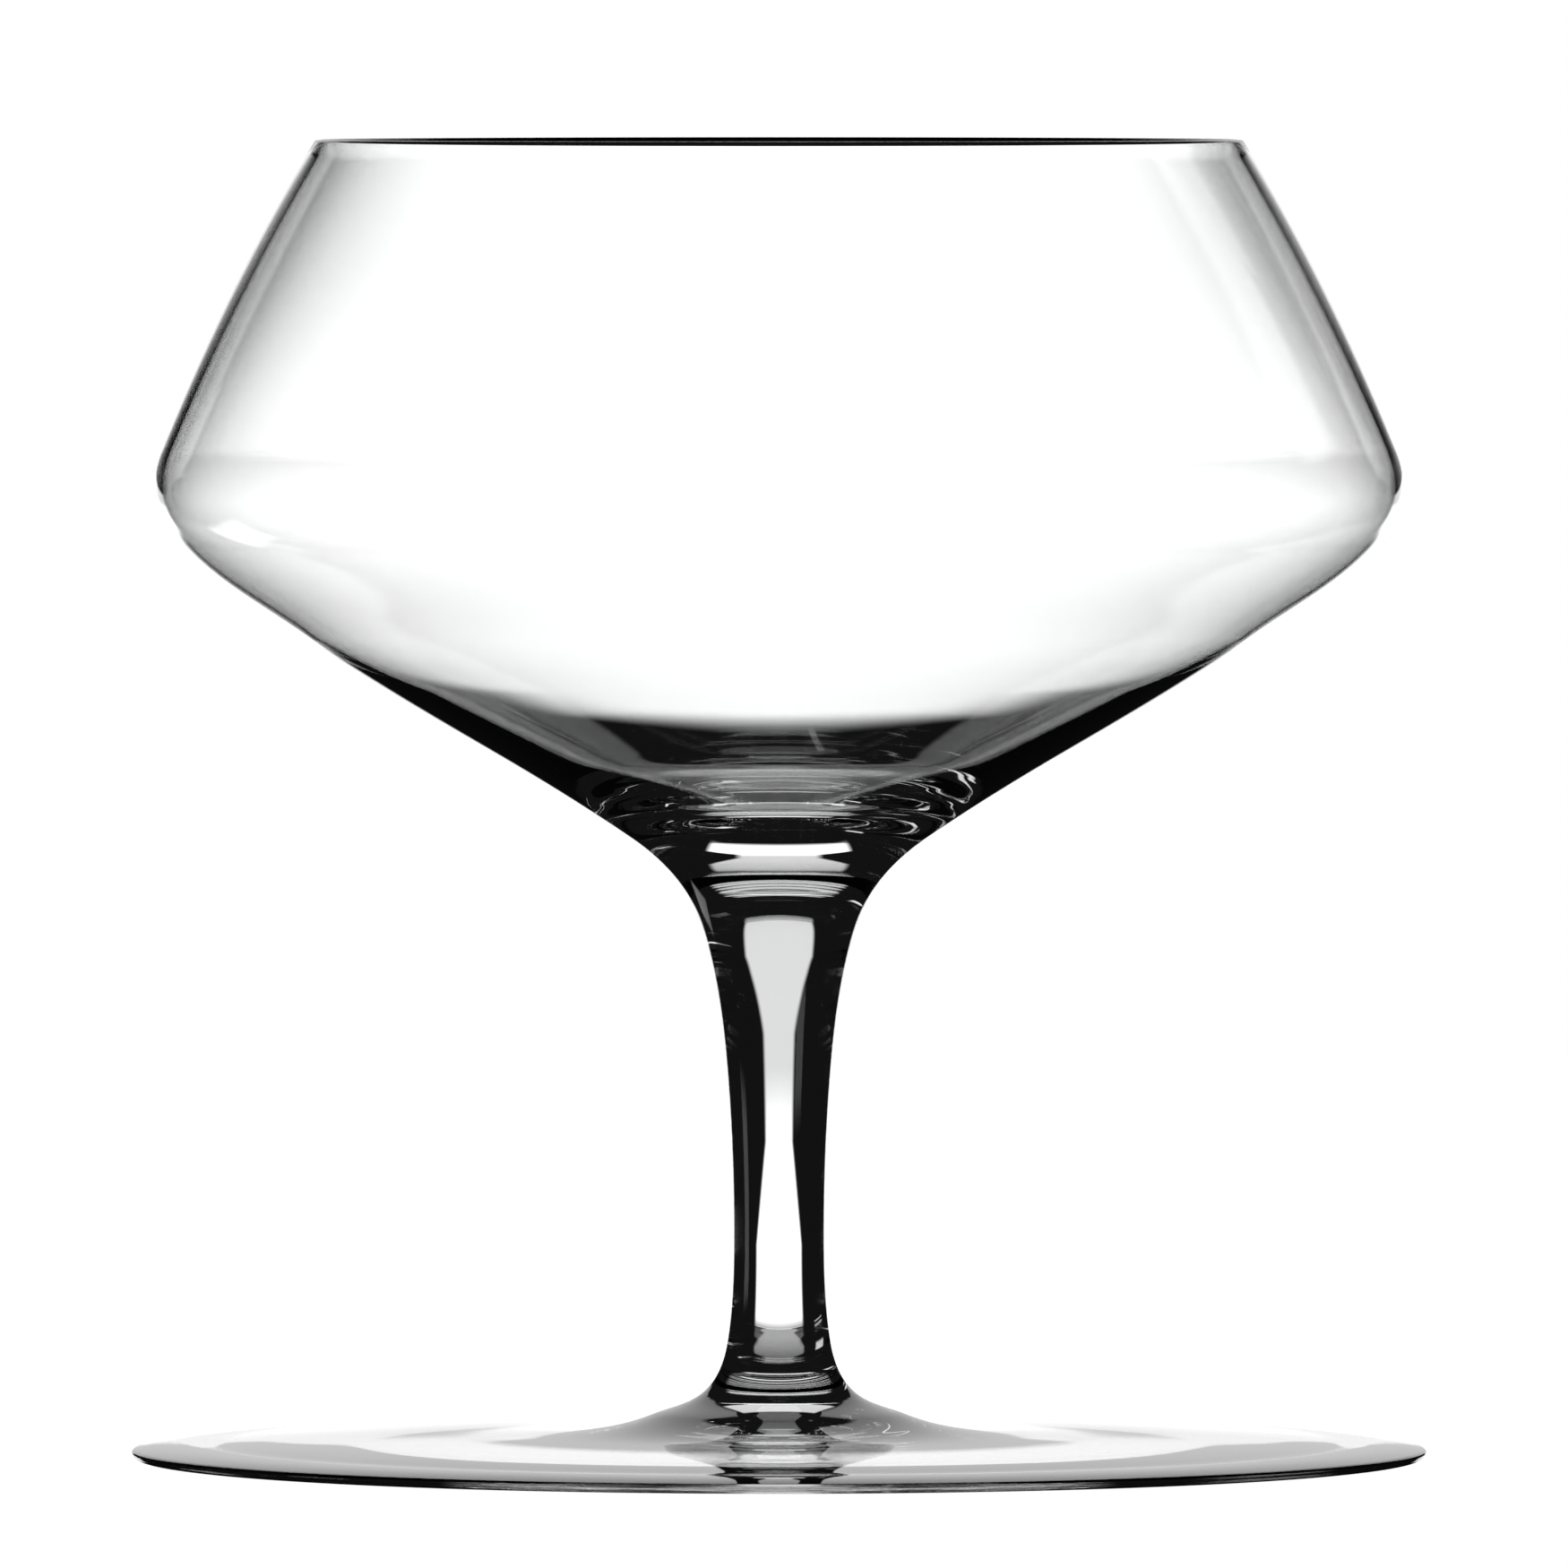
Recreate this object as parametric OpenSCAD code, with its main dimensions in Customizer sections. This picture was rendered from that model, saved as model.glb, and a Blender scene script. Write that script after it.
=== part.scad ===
// Clear stemmed cocktail glass: a blown bowl, a drawn stem and a pressed foot, fused end to end.
// The axis of the glass is Z, and the foot stands on the plane z = 0.

/* [Bowl] */
// Height of the rim above the table
total_h = 106; // [100:0.5:115]
// Outside diameter of the rim
rim_d = 74.8; // [66:0.1:80]
// Lean of the wall at the rim, inwards from vertical
rim_lean = 31; // [20:1:40]
// Thickness of the wall at the rim, which is rounded over
rim_t = 0.9; // [0.6:0.05:1.5]
// Largest outside diameter, at the rounded shoulder
bowl_d = 100.6; // [92:0.1:110]
// Height of the largest diameter
shoulder_h = 78.3; // [75:0.1:82]
// Radius of the rounded shoulder
shoulder_r = 7.2; // [5:0.1:9]
// Lean of the wall where it leaves the top of the shoulder
upper_lean = 22.5; // [15:0.5:28]
// Flare of the cone where it leaves the bottom of the shoulder
lower_flare = 43; // [38:1:48]
// Thickness of the blown wall above the shoulder
upper_t = 0.8; // [0.6:0.05:1.4]
// Thickness of the blown wall below the shoulder
wall_t = 0.7; // [0.5:0.05:1.2]

/* [Cone of the bowl] */
// Outside diameter of the cone, halfway down
cone_d = 77; // [72:0.5:82]
// Height of that diameter
cone_h = 66.1; // [64:0.1:68]
// Thickness of the cone there
cone_t = 0.7; // [0.5:0.05:1]
// Height of the flat floor inside the bowl
well_h = 52.4; // [52.2:0.1:52.8]
// Diameter of that floor
well_d = 18; // [12:0.5:20]

/* [Stem] */
// Smallest diameter of the stem
stem_d = 7.3; // [6:0.1:10]
// Height of the smallest diameter
waist_h = 18; // [14:0.5:22]
// Diameter of the seam between the stem and the bowl
bowl_seam_d = 23.8; // [21:0.1:26]
// Height of that seam
bowl_seam_h = 49.8; // [49:0.1:51]

/* [Foot] */
// Diameter of the foot
foot_d = 104.3; // [90:0.1:115]
// Thickness of the foot at its rounded edge
edge_t = 0.8; // [0.6:0.05:1.5]
// Diameter of the seam between the stem and the foot
foot_seam_d = 12.9; // [12:0.1:14]
// Height of that seam
foot_seam_h = 5; // [4.6:0.1:5.4]
// Outside diameter of the flat ring that the foot stands on
ring_d = 101; // [80:0.5:101]
// Width of that ring
ring_w = 3; // [2:0.5:5]
// Rise of the hollow under the foot
hollow_h = 0.8; // [0.3:0.1:1.2]

/* [Hidden] */
$fn = 96;
// Cones in each stretch of a curved outline
curve_steps = 10;
clear_glass = [0.93, 0.96, 0.96, 0.35];

// A knot of an outline is [radius, height, lean], where the lean is the direction that the
// outline runs in, in degrees from straight up, positive away from the axis.
shoulder_mid = [bowl_d / 2 - shoulder_r, shoulder_h];
rim_knot = [rim_d / 2, total_h - rim_t / 2 * (1 - sin(rim_lean)), -rim_lean];
upper_knot = shoulder_knot(-upper_lean);
lower_knot = shoulder_knot(lower_flare);
cone_knot = [cone_d / 2, cone_h, 55.5];
base_knot = [0.3 * cone_d, cone_h - 9.4, 60.2];
bowl_seam = [bowl_seam_d / 2, bowl_seam_h, 56];
// Inside, the floor turns up into a cone that is a little flatter than the outside
bend_knot = [12.5, 52.9, 76];
slant_knot = [15, 54, 64];
middle_knot = [21, 56.95, 62.8];
high_knot = [31.5, 62.55, 60.5];
// The stem widens from its waist down to the foot and up to the bowl
ankle_knot = [0.53 + stem_d / 2, 9.2, -9.4];
waist_knot = [stem_d / 2, waist_h, 0];
mid_knot = [0.5 + stem_d / 2, 30.8, 4.5];
neck_knot = [1.69 + stem_d / 2, 39.5, 12.5];
flare_knot = [3.69 + stem_d / 2, 45.2, 31];
foot_seam = [foot_seam_d / 2, foot_seam_h, -55];
// The top of the foot runs in from its round edge, nearly flat and then rising to the stem
edge_knot = [foot_d / 2, 0.46, 0];
brim_knot = [foot_d / 2 - edge_t / 2, edge_t, -80];
shelf_knot = [44, 1.25, -87];
slope_knot = [20, 1.9, -88];
rise_knot = [10.3, 3.46, -68];

function shoulder_knot(lean) = [
    shoulder_mid[0] + shoulder_r * cos(lean),
    shoulder_mid[1] - shoulder_r * sin(lean),
    lean
];

// The knot at a depth of glass inside an outer knot
function inside(knot, depth) = [
    knot[0] - depth * cos(knot[2]),
    knot[1] + depth * sin(knot[2]),
    knot[2]
];

// Cubic curve from knot a to knot b. Its handles make a true arc where the leans allow one.
function handle(a, b) =
    norm([b[0] - a[0], b[1] - a[1]]) / (3 * pow(cos((b[2] - a[2]) / 4), 2));
function along(knot, reach) = [knot[0] + reach * sin(knot[2]), knot[1] + reach * cos(knot[2])];
function curve_point(a, b, t) =
    pow(1 - t, 3) * [a[0], a[1]]
    + 3 * t * pow(1 - t, 2) * along(a, handle(a, b))
    + 3 * t * t * (1 - t) * along(b, -handle(a, b))
    + pow(t, 3) * [b[0], b[1]];

// Outline through a list of knots, without its last point
function outline(knots) = [
    for (i = [0:len(knots) - 2])
        for (step = [0:curve_steps - 1])
            curve_point(knots[i], knots[i + 1], step / curve_steps)
];
function reversed(knots) = [
    for (i = [len(knots) - 1:-1:0]) [knots[i][0], knots[i][1], knots[i][2] + 180]
];

bowl_outside = [bowl_seam, base_knot, cone_knot, lower_knot, upper_knot, rim_knot];
bowl_inside = [
    [0, well_h, 90],
    [well_d / 2, well_h, 90],
    bend_knot,
    slant_knot,
    middle_knot,
    high_knot,
    inside(cone_knot, cone_t),
    inside(lower_knot, wall_t),
    inside(upper_knot, upper_t),
    inside(rim_knot, rim_t)
];

// The same knot, with its outline running the other way
function back(knot) = [knot[0], knot[1], knot[2] - 180];
lip_knot = back(inside(rim_knot, rim_t));

module bowl() {
    color(clear_glass)
        rotate_extrude()
            polygon(concat(
                [[0, bowl_seam_h]],
                outline(bowl_outside),
                outline([rim_knot, lip_knot]),
                outline(reversed(bowl_inside)),
                [[0, well_h]]
            ));
}

stem_side = [foot_seam, ankle_knot, waist_knot, mid_knot, neck_knot, flare_knot, bowl_seam];

module stem() {
    color(clear_glass)
        rotate_extrude()
            polygon(concat(
                [[0, foot_seam_h]],
                outline(stem_side),
                [[bowl_seam_d / 2, bowl_seam_h], [0, bowl_seam_h]]
            ));
}

foot_hollow = [[0, hollow_h, 90], [ring_d / 2 - ring_w, 0, 91]];
foot_top = [[ring_d / 2, 0, 90], edge_knot, brim_knot, shelf_knot, slope_knot, rise_knot, foot_seam];

module foot() {
    color(clear_glass)
        rotate_extrude()
            polygon(concat(
                outline(foot_hollow),
                [[ring_d / 2 - ring_w, 0]],
                outline(foot_top),
                [[foot_seam_d / 2, foot_seam_h], [0, foot_seam_h]]
            ));
}

foot();
stem();
bowl();
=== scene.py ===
import math

import bpy
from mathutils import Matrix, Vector

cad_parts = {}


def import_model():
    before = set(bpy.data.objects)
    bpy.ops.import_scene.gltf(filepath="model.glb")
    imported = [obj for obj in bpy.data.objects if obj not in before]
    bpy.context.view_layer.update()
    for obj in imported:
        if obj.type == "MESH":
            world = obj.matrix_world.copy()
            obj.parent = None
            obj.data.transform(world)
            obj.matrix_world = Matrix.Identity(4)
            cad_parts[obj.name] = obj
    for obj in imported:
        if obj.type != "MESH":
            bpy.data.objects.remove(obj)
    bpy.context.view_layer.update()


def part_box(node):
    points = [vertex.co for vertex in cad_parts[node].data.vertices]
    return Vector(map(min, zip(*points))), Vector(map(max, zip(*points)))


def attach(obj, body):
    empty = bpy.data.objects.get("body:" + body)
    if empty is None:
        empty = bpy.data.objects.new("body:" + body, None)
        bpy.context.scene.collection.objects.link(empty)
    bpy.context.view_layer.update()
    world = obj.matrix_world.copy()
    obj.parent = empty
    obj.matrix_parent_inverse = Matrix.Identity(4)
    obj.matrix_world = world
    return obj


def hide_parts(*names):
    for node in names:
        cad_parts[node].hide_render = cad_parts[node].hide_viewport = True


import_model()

# Metres in a millimetre
MM = 0.001

# ---------------------------------------------------------------- sizes, in millimetres and degrees
bowl_low, bowl_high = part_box("bowl")
foot_low, foot_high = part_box("foot")
TOTAL_H = bowl_high.z / MM
BOWL_R = bowl_high.x / MM
BOWL_SEAM_H = bowl_low.z / MM
FOOT_R = foot_high.x / MM
FOOT_SEAM_H = foot_high.z / MM

RIM_R = 37.4
RIM_LEAN = 31
RIM_T = 0.9
SHOULDER_H = 78.3
SHOULDER_R = 7.2
UPPER_LEAN = 22.5
LOWER_FLARE = 43
UPPER_T = 0.8
WALL_T = 0.7
CONE_T = 0.7
WELL_H = 52.4
WELL_R = 9
EDGE_T = 0.8
HOLLOW_H = 0.8

# Cones in each stretch of a curve, and faces round the axis
CURVE_STEPS = 24
SEGMENTS = 256
# A smaller radius is on the axis
ON_AXIS = 1e-6


# ---------------------------------------------------------------- outlines
# A knot is (radius, height, lean), where the lean is the outline's direction from straight up,
# positive away from the axis. These are the knots of the CAD model.
def shoulder_knot(lean):
    a = math.radians(lean)
    return (BOWL_R - SHOULDER_R + SHOULDER_R * math.cos(a), SHOULDER_H - SHOULDER_R * math.sin(a), lean)


def inside(knot, depth):
    """The knot at a depth of glass inside an outer knot."""
    r, z, lean = knot
    a = math.radians(lean)
    return (r - depth * math.cos(a), z + depth * math.sin(a), lean)


def along(knot, reach):
    r, z, lean = knot
    a = math.radians(lean)
    return (r + reach * math.sin(a), z + reach * math.cos(a))


def curve(knots):
    """Points of a cubic curve through the knots, with its last point."""
    points = []
    for a, b in zip(knots, knots[1:]):
        chord = math.hypot(b[0] - a[0], b[1] - a[1])
        handle = chord / (3 * math.cos(math.radians(b[2] - a[2]) / 4) ** 2)
        stops = (a[:2], along(a, handle), along(b, -handle), b[:2])
        for i in range(CURVE_STEPS):
            t = i / CURVE_STEPS
            weights = ((1 - t) ** 3, 3 * t * (1 - t) ** 2, 3 * t * t * (1 - t), t ** 3)
            points.append(tuple(sum(w * p[k] for w, p in zip(weights, stops)) for k in (0, 1)))
    points.append(tuple(knots[-1][:2]))
    return points


def back(knot):
    """The same knot, with its outline running the other way."""
    return (knot[0], knot[1], knot[2] - 180)


def reverse(knots):
    return [(r, z, lean + 180) for r, z, lean in reversed(knots)]


rim = (RIM_R, TOTAL_H - RIM_T / 2 * (1 - math.sin(math.radians(RIM_LEAN))), -RIM_LEAN)
upper = shoulder_knot(-UPPER_LEAN)
lower = shoulder_knot(LOWER_FLARE)
cone = (38.5, 66.1, 55.5)
base = (23.1, 56.7, 60.2)
bowl_seam = (11.9, BOWL_SEAM_H, 56)
bowl_outside = [bowl_seam, base, cone, lower, upper, rim]

bend = (12.5, 52.9, 76)
slant = (15, 54, 64)
middle = (21, 56.95, 62.8)
high = (31.5, 62.55, 60.5)
lip = inside(rim, RIM_T)
bowl_inside = [
    (0, WELL_H, 90),
    (WELL_R, WELL_H, 90),
    bend,
    slant,
    middle,
    high,
    inside(cone, CONE_T),
    inside(lower, WALL_T),
    inside(upper, UPPER_T),
    lip,
]
bowl_line = curve(bowl_outside)[:-1] + curve([rim, back(lip)])[:-1] + curve(reverse(bowl_inside))

ankle = (4.18, 9.2, -9.4)
waist = (3.65, 18, 0)
mid = (4.15, 30.8, 4.5)
neck = (5.34, 39.5, 12.5)
flare = (7.34, 45.2, 31)
foot_seam = (6.45, FOOT_SEAM_H, -55)
stem_line = curve([foot_seam, ankle, waist, mid, neck, flare, bowl_seam])

ring_outer = (50.5, 0, 90)
ring_inner = (47.5, 0, 91)
edge = (FOOT_R, 0.46, 0)
brim = (FOOT_R - EDGE_T / 2, EDGE_T, -80)
shelf = (44, 1.25, -87)
slope = (20, 1.9, -88)
rise = (10.3, 3.46, -68)
foot_hollow = curve([(0, HOLLOW_H, 90), ring_inner])
foot_line = foot_hollow + curve([ring_outer, edge, brim, shelf, slope, rise, foot_seam])


# ---------------------------------------------------------------- meshes
GLASS = 0
SEAM = 1
# Ends of an outline
START = 0
END = -1


def turned(name, line, body, seams):
    """Closed solid of revolution from an outline; a flat seam closes each end that seams names."""
    verts = []
    faces = []
    slots = []
    rings = []

    def hub(z):
        verts.append((0, 0, z * MM))
        return [len(verts) - 1]

    def ring(r, z):
        start = len(verts)
        for k in range(SEGMENTS):
            a = 2 * math.pi * k / SEGMENTS
            verts.append((r * MM * math.cos(a), r * MM * math.sin(a), z * MM))
        return list(range(start, start + SEGMENTS))

    def join(a, b, slot):
        for k in range(SEGMENTS):
            n = (k + 1) % SEGMENTS
            if len(a) == 1:
                faces.append((a[0], b[n], b[k]))
            elif len(b) == 1:
                faces.append((a[k], a[n], b[0]))
            else:
                faces.append((a[k], a[n], b[n], b[k]))
            slots.append(slot)

    for r, z in line:
        rings.append(hub(z) if r < ON_AXIS else ring(r, z))
    for a, b in zip(rings, rings[1:]):
        join(a, b, GLASS)
    for end in seams:
        middle_of_seam = hub(line[end][1])
        if end == START:
            join(middle_of_seam, rings[START], SEAM)
        else:
            join(rings[END], middle_of_seam, SEAM)

    mesh = bpy.data.meshes.new(name)
    mesh.from_pydata(verts, [], faces)
    mesh.polygons.foreach_set("material_index", slots)
    for material in (crystal, seam):
        mesh.materials.append(material)
    mesh.polygons.foreach_set("use_smooth", [True] * len(faces))
    mesh.update()
    sharp = mesh.attributes.new("sharp_edge", "BOOLEAN", "EDGE")
    rims = [set(rings[end]) for end in seams]
    values = [any(e.vertices[0] in s and e.vertices[1] in s for s in rims) for e in mesh.edges]
    sharp.data.foreach_set("value", values)
    piece = bpy.data.objects.new(name, mesh)
    bpy.context.scene.collection.objects.link(piece)
    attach(piece, "root")
    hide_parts(body)


# ---------------------------------------------------------------- materials
GLASS_IOR = 1.52
TINT = (0.982, 0.990, 0.988, 1)
WHITE = (1, 1, 1, 1)
# Roughness where the polish is poorest
POLISH = 0.012
WAVE_STRENGTH = 0.004
WAVE_DEPTH = 0.0002
# Noise patterns, in repeats to the metre
TINT_SCALE = 45
POLISH_SCALE = 160
WAVE_SCALE = 90


def glass():
    """Clear crystal: a trace of tint, drawn glass's faint waviness and a polish that varies slightly."""
    mat = bpy.data.materials.new("clear_crystal")
    mat.use_nodes = True
    nodes = mat.node_tree.nodes
    link = mat.node_tree.links.new
    shader = nodes["Principled BSDF"]
    shader.inputs["IOR"].default_value = GLASS_IOR
    shader.inputs["Transmission Weight"].default_value = 1.0
    where = nodes.new("ShaderNodeTexCoord").outputs["Object"]

    def noise(scale, detail):
        node = nodes.new("ShaderNodeTexNoise")
        node.inputs["Scale"].default_value = scale
        node.inputs["Detail"].default_value = detail
        link(where, node.inputs["Vector"])
        return node.outputs["Fac"]

    tint = nodes.new("ShaderNodeValToRGB")
    tint.color_ramp.elements[0].position = 0.35
    tint.color_ramp.elements[0].color = TINT
    tint.color_ramp.elements[1].position = 0.65
    tint.color_ramp.elements[1].color = WHITE
    link(noise(TINT_SCALE, 2), tint.inputs["Fac"])
    link(tint.outputs["Color"], shader.inputs["Base Color"])

    polish = nodes.new("ShaderNodeMapRange")
    polish.inputs["From Min"].default_value = 0.4
    polish.inputs["From Max"].default_value = 0.75
    polish.inputs["To Min"].default_value = 0.0
    polish.inputs["To Max"].default_value = POLISH
    link(noise(POLISH_SCALE, 4), polish.inputs["Value"])
    link(polish.outputs["Result"], shader.inputs["Roughness"])

    wave = nodes.new("ShaderNodeBump")
    wave.inputs["Strength"].default_value = WAVE_STRENGTH
    wave.inputs["Distance"].default_value = WAVE_DEPTH
    link(noise(WAVE_SCALE, 1), wave.inputs["Height"])
    link(wave.outputs["Normal"], shader.inputs["Normal"])
    return mat


def fused():
    """The faces where two pieces are fused: nothing shows there."""
    mat = bpy.data.materials.new("fused_seam")
    mat.use_nodes = True
    nodes = mat.node_tree.nodes
    nodes.clear()
    out = nodes.new("ShaderNodeOutputMaterial")
    clear = nodes.new("ShaderNodeBsdfTransparent")
    mat.node_tree.links.new(clear.outputs[0], out.inputs["Surface"])
    return mat


crystal = glass()
seam = fused()
turned("crystal_bowl", bowl_line, "bowl", [START])
turned("crystal_stem", stem_line, "stem", [START, END])
turned("crystal_foot", foot_line, "foot", [END])


# ---------------------------------------------------------------- studio
# Camera, in metres from the middle of the foot: where it stands, what it looks at, and how wide
# a strip it takes in there
CAM_DISTANCE = 2.1
CAM_HEIGHT = 0.1165
CAM_TARGET = 0.0542
CAM_SIDE = 0.0004
FRAME_W = 0.126
SENSOR_W = 36
CAM_REACH = 20
FLOOR_R = 0.8
FLOOR_GLOW = 1.0
FLOOR_ALBEDO = 0.1
FLOOR_ROUGHNESS = 0.9
# Brightness of what the glass sees round the panels, and of what the camera sees behind it
SURROUND = 0.006
BACKDROP = 1.0
# Panels, in degrees: softness of their edges, height of their widest belt, how much they narrow for
# each degree above it, and the height where they start to widen again
PANEL_SOFT = 1.5
PANEL_BELT = -3
PANEL_TAPER = 3
PANEL_WAIST = 5
# Share of the light that is lost higher up, between these two heights in degrees
PANEL_DIM = 0.47
DIM_FROM = -0.5
DIM_TO = 3
# bearing, half widths up to the belt, above it and high up, lowest and highest elevation, brightness
PANELS = [
    (90, 21, 11, 21, -10.5, 36, 1.5),
    (180, 7, 7, 7, -8, 3, 1.0),
    (135, 8, 8, 8, -31, -18, 1.0),
    (-45, 8, 8, 8, -21, -9, 1.0),
]


def floor():
    bpy.ops.mesh.primitive_circle_add(vertices=128, radius=FLOOR_R, fill_type="NGON")
    disc = bpy.context.object
    disc.name = "floor"
    mat = bpy.data.materials.new("pale_floor")
    mat.use_nodes = True
    shader = mat.node_tree.nodes["Principled BSDF"]
    shader.inputs["Base Color"].default_value = (FLOOR_ALBEDO, FLOOR_ALBEDO, FLOOR_ALBEDO, 1)
    shader.inputs["Roughness"].default_value = FLOOR_ROUGHNESS
    shader.inputs["Emission Color"].default_value = WHITE
    shader.inputs["Emission Strength"].default_value = FLOOR_GLOW
    disc.data.materials.append(mat)
    disc.visible_transmission = False
    disc.visible_glossy = False


def world():
    """Bright panels round the glass on a dark surround, with an even white behind for the camera."""
    studio = bpy.data.worlds.new("studio")
    bpy.context.scene.world = studio
    studio.use_nodes = True
    nodes = studio.node_tree.nodes
    link = studio.node_tree.links.new
    nodes.clear()

    def calc(operation, *values):
        node = nodes.new("ShaderNodeMath")
        node.operation = operation
        for socket, value in zip(node.inputs, values):
            if isinstance(value, (int, float)):
                socket.default_value = value
            else:
                link(value, socket)
        return node.outputs[0]

    def fade(value, dark_at, light_at):
        node = nodes.new("ShaderNodeMapRange")
        node.interpolation_type = "SMOOTHSTEP"
        node.inputs["From Min"].default_value = dark_at
        node.inputs["From Max"].default_value = light_at
        link(value, node.inputs["Value"])
        return node.outputs["Result"]

    direction = nodes.new("ShaderNodeSeparateXYZ")
    link(nodes.new("ShaderNodeTexCoord").outputs["Generated"], direction.inputs[0])
    turn = calc("ARCTAN2", direction.outputs["Y"], direction.outputs["X"])
    bearing = calc("MULTIPLY", turn, math.degrees(1))
    height = calc("MULTIPLY", calc("ARCSINE", direction.outputs["Z"]), math.degrees(1))
    light = None
    taper = calc("MULTIPLY", calc("SUBTRACT", height, PANEL_BELT), -PANEL_TAPER)
    spread = calc("SUBTRACT", height, PANEL_WAIST)
    even = calc("SUBTRACT", 1, calc("MULTIPLY", fade(height, DIM_FROM, DIM_TO), PANEL_DIM))
    for facing, belt_w, waist_w, top_w, low, high, power in PANELS:
        off = calc("ABSOLUTE", calc("WRAP", calc("SUBTRACT", bearing, facing), 180, -180))
        to_belt = calc("MAXIMUM", waist_w, calc("MINIMUM", belt_w, calc("ADD", belt_w, taper)))
        to_top = calc("MINIMUM", top_w, calc("ADD", waist_w, spread))
        half_width = calc("MAXIMUM", to_belt, to_top)
        across = fade(calc("SUBTRACT", off, half_width), PANEL_SOFT, -PANEL_SOFT)
        up = calc("MULTIPLY", fade(height, low - PANEL_SOFT, low + PANEL_SOFT),
                  fade(height, high + PANEL_SOFT, high - PANEL_SOFT))
        panel = calc("MULTIPLY", calc("MULTIPLY", across, up), calc("MULTIPLY", even, power))
        light = panel if light is None else calc("ADD", light, panel)
    light = calc("ADD", light, SURROUND)
    rays = nodes.new("ShaderNodeLightPath")
    seen = calc("MULTIPLY", rays.outputs["Is Camera Ray"], BACKDROP)
    lit = calc("MULTIPLY", calc("SUBTRACT", 1, rays.outputs["Is Camera Ray"]), light)
    background = nodes.new("ShaderNodeBackground")
    background.inputs["Color"].default_value = WHITE
    link(calc("ADD", seen, lit), background.inputs["Strength"])
    out = nodes.new("ShaderNodeOutputWorld")
    link(background.outputs[0], out.inputs["Surface"])


def camera():
    data = bpy.data.cameras.new("camera")
    cam = bpy.data.objects.new("camera", data)
    bpy.context.scene.collection.objects.link(cam)
    bpy.context.scene.camera = cam
    eye = Vector((CAM_SIDE, -CAM_DISTANCE, CAM_HEIGHT))
    target = Vector((CAM_SIDE, 0, CAM_TARGET))
    cam.location = eye
    cam.rotation_mode = "QUATERNION"
    cam.rotation_quaternion = (target - eye).to_track_quat("-Z", "Y")
    data.sensor_width = SENSOR_W
    data.lens = SENSOR_W * CAM_DISTANCE / FRAME_W
    data.clip_end = CAM_REACH


floor()
world()
camera()
scene = bpy.context.scene
scene.view_settings.view_transform = "Standard"
# Light turns many times inside the thick bottom before it leaves the glass
scene.cycles.max_bounces = 28
scene.cycles.transmission_bounces = 28
scene.cycles.glossy_bounces = 16
scene.cycles.transparent_max_bounces = 32
